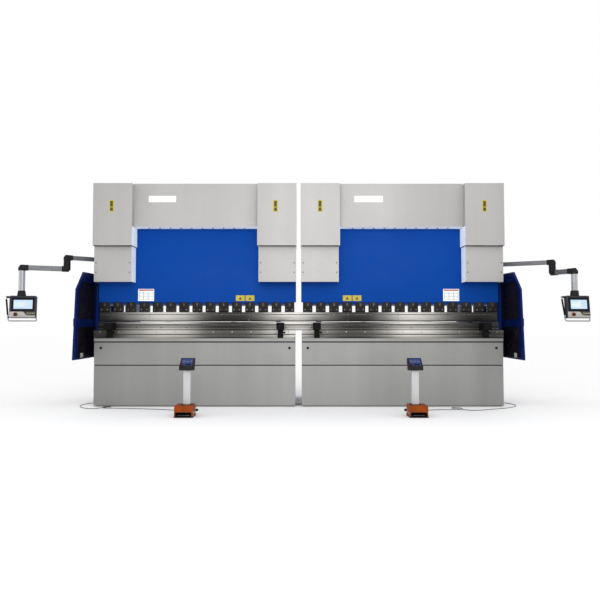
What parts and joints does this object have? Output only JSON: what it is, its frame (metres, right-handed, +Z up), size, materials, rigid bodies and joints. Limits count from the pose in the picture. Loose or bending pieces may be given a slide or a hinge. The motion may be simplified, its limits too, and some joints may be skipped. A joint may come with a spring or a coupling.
{
  "type": "press brake",
  "caption": "Tandem hydraulic press brake: two mirrored machines share one punch and die line, with swing-arm pendants, side guards, sheet supports and foot pedals.",
  "frame": {"origin": "on the floor, in the bend line's vertical plane, midway between the two machines", "axes": "+X along the bend line to the operator's right, +Y away from the operator, +Z up"},
  "size_m": [9.1948, 2.655, 3.562],
  "materials": {
    "cover_grey": "satin powder coat",
    "apron_grey": "satin powder coat",
    "ram_blue": "semi-gloss paint",
    "guard_blue": "semi-gloss paint",
    "frame_blue": "semi-gloss paint",
    "tool_steel": "ground",
    "holder_steel": "ground",
    "rod_chrome": "polished",
    "black_metal": "satin black",
    "dark_steel": "oiled",
    "arm_aluminium": "anodised",
    "pendant_plastic": "fine texture",
    "screen_glass": "lit display",
    "smoky_glass": "smoked polycarbonate",
    "stop_red": "gloss",
    "column_grey": "satin",
    "hood_orange": "semi-gloss",
    "console_blue": "gloss",
    "motor_grey": "satin",
    "cabinet_grey": "satin powder coat",
    "guide_bronze": "machined",
    "cable_grey": "matte"
  },
  "bodies": {
    "machine": {"side_frames": "frame_blue", "beds": "frame_blue", "anchor_feet": "dark_steel", "bed_aprons": "apron_grey", "die_rails": "holder_steel", "die_holders": "holder_steel", "lower_dies": "tool_steel", "hydraulic_cylinders": "motor_grey", "ram_guides": "guide_bronze", "hydraulic_units": "motor_grey", "top_structure": "frame_blue", "upper_covers": "cover_grey", "lower_covers": "cover_grey", "beam_covers": "cover_grey", "cover_screws": "dark_steel", "gauge_guides": "holder_steel", "electrical_cabinets": "cabinet_grey", "guard_brackets": "black_metal", "support_rails": "holder_steel", "arm_posts": "black_metal", "pedal_hoods": "hood_orange", "pedal_bases": "black_metal", "pedestal_columns": "column_grey", "pedestal_consoles": "console_blue", "carry_handles": "black_metal", "cable_glands": "black_metal", "left_pedal_cable": "cable_grey", "right_pedal_cable": "cable_grey"},
    "left_ram_unit": {"left_ram": "ram_blue", "left_tool_clamps": "black_metal", "left_punch": "tool_steel", "left_piston_rods": "rod_chrome"},
    "left_guard": {"left_side_guard": "guard_blue", "left_guard_windows": "smoky_glass"},
    "left_arm_inner": {"left_first_arm": "arm_aluminium"},
    "left_arm_outer": {"left_second_arm": "arm_aluminium"},
    "left_pendant_unit": {"left_pendant": "pendant_plastic", "left_screen": "screen_glass"},
    "left_stop": {"left_stop_button": "stop_red"},
    "left_inner_rest": {"left_inner_support": "black_metal"},
    "left_outer_rest": {"left_outer_support": "black_metal"},
    "left_gauge": {"left_back_gauge": "dark_steel"},
    "left_door": {"left_cabinet_door": "cabinet_grey"},
    "left_foot_pedal": {"left_pedal": "black_metal"},
    "right_ram_unit": {"right_ram": "ram_blue", "right_tool_clamps": "black_metal", "right_punch": "tool_steel", "right_piston_rods": "rod_chrome"},
    "right_guard": {"right_side_guard": "guard_blue", "right_guard_windows": "smoky_glass"},
    "right_arm_inner": {"right_first_arm": "arm_aluminium"},
    "right_arm_outer": {"right_second_arm": "arm_aluminium"},
    "right_pendant_unit": {"right_pendant": "pendant_plastic", "right_screen": "screen_glass"},
    "right_stop": {"right_stop_button": "stop_red"},
    "right_inner_rest": {"right_inner_support": "black_metal"},
    "right_outer_rest": {"right_outer_support": "black_metal"},
    "right_gauge": {"right_back_gauge": "dark_steel"},
    "right_door": {"right_cabinet_door": "cabinet_grey"},
    "right_foot_pedal": {"right_pedal": "black_metal"}
  },
  "joints": [
    {"name": "left_ram_slide", "type": "slide", "parent": "machine", "child": "left_ram_unit", "axis": [0, 0, 1], "range_m": [-0.018, 0.182]},
    {"name": "left_guard_hinge", "type": "hinge", "parent": "machine", "child": "left_guard", "pos_m": [-3.42, 0.285, 0.92], "axis": [0, 0, -1], "range_deg": [0, 34]},
    {"name": "left_arm_root", "type": "hinge", "parent": "machine", "child": "left_arm_inner", "pos_m": [-3.075, 0.45, 2.385], "axis": [0, 0, 1], "range_deg": [-50, 18]},
    {"name": "left_arm_knee", "type": "hinge", "parent": "left_arm_inner", "child": "left_arm_outer", "pos_m": [-3.769, -0.1, 2.2], "axis": [0, 0, 1], "range_deg": [-60, 40]},
    {"name": "left_pendant_swivel", "type": "hinge", "parent": "left_arm_outer", "child": "left_pendant_unit", "pos_m": [-4.38, -0.36, 1.8], "axis": [0, 0, 1], "range_deg": [-80, 80]},
    {"name": "left_stop_press", "type": "slide", "parent": "left_pendant_unit", "child": "left_stop", "axis": [-0.173, 0.9811, -0.0872], "range_m": [0, 0.005], "stiffness_N_per_m": 1500, "springref_m": -0.004},
    {"name": "left_inner_support_slide", "type": "slide", "parent": "machine", "child": "left_inner_rest", "axis": [-1, 0, 0], "range_m": [-0.16, 1.2]},
    {"name": "left_outer_support_slide", "type": "slide", "parent": "machine", "child": "left_outer_rest", "axis": [-1, 0, 0], "range_m": [-1.2, 0.16]},
    {"name": "left_gauge_travel", "type": "slide", "parent": "machine", "child": "left_gauge", "axis": [0, 1, 0], "range_m": [-0.15, 0.55]},
    {"name": "left_door_hinge", "type": "hinge", "parent": "machine", "child": "left_door", "pos_m": [-3.246, 1.192, 0.77], "axis": [0, 0, -1], "range_deg": [0, 110]},
    {"name": "left_pedal_press", "type": "hinge", "parent": "machine", "child": "left_foot_pedal", "pos_m": [-1.604, -1.205, 0.031], "axis": [1, 0, 0], "range_deg": [0, 3], "stiffness_Nm_per_rad": 60, "springref_deg": -8.59},
    {"name": "right_ram_slide", "type": "slide", "parent": "machine", "child": "right_ram_unit", "axis": [0, 0, 1], "range_m": [-0.018, 0.182]},
    {"name": "right_guard_hinge", "type": "hinge", "parent": "machine", "child": "right_guard", "pos_m": [3.42, 0.285, 0.92], "axis": [0, 0, 1], "range_deg": [0, 34]},
    {"name": "right_arm_root", "type": "hinge", "parent": "machine", "child": "right_arm_inner", "pos_m": [3.075, 0.45, 2.31], "axis": [0, 0, -1], "range_deg": [-50, 18]},
    {"name": "right_arm_knee", "type": "hinge", "parent": "right_arm_inner", "child": "right_arm_outer", "pos_m": [4.128, -0.1, 2.14], "axis": [0, 0, -1], "range_deg": [-60, 20]},
    {"name": "right_pendant_swivel", "type": "hinge", "parent": "right_arm_outer", "child": "right_pendant_unit", "pos_m": [4.332, -0.43, 1.8], "axis": [0, 0, 1], "range_deg": [-80, 80]},
    {"name": "right_stop_press", "type": "slide", "parent": "right_pendant_unit", "child": "right_stop", "axis": [-0.173, 0.9811, -0.0872], "range_m": [0, 0.005], "stiffness_N_per_m": 1500, "springref_m": -0.004},
    {"name": "right_inner_support_slide", "type": "slide", "parent": "machine", "child": "right_inner_rest", "axis": [1, 0, 0], "range_m": [-0.16, 1.2]},
    {"name": "right_outer_support_slide", "type": "slide", "parent": "machine", "child": "right_outer_rest", "axis": [1, 0, 0], "range_m": [-1.2, 0.16]},
    {"name": "right_gauge_travel", "type": "slide", "parent": "machine", "child": "right_gauge", "axis": [0, 1, 0], "range_m": [-0.15, 0.55]},
    {"name": "right_door_hinge", "type": "hinge", "parent": "machine", "child": "right_door", "pos_m": [3.246, 1.192, 0.77], "axis": [0, 0, 1], "range_deg": [0, 110]},
    {"name": "right_pedal_press", "type": "hinge", "parent": "machine", "child": "right_foot_pedal", "pos_m": [1.675, -1.205, 0.031], "axis": [1, 0, 0], "range_deg": [0, 3], "stiffness_Nm_per_rad": 60, "springref_deg": -8.59}
  ],
  "couplings": [
    {"joint": "right_ram_slide", "follows": "left_ram_slide", "ratio": 1}
  ]
}
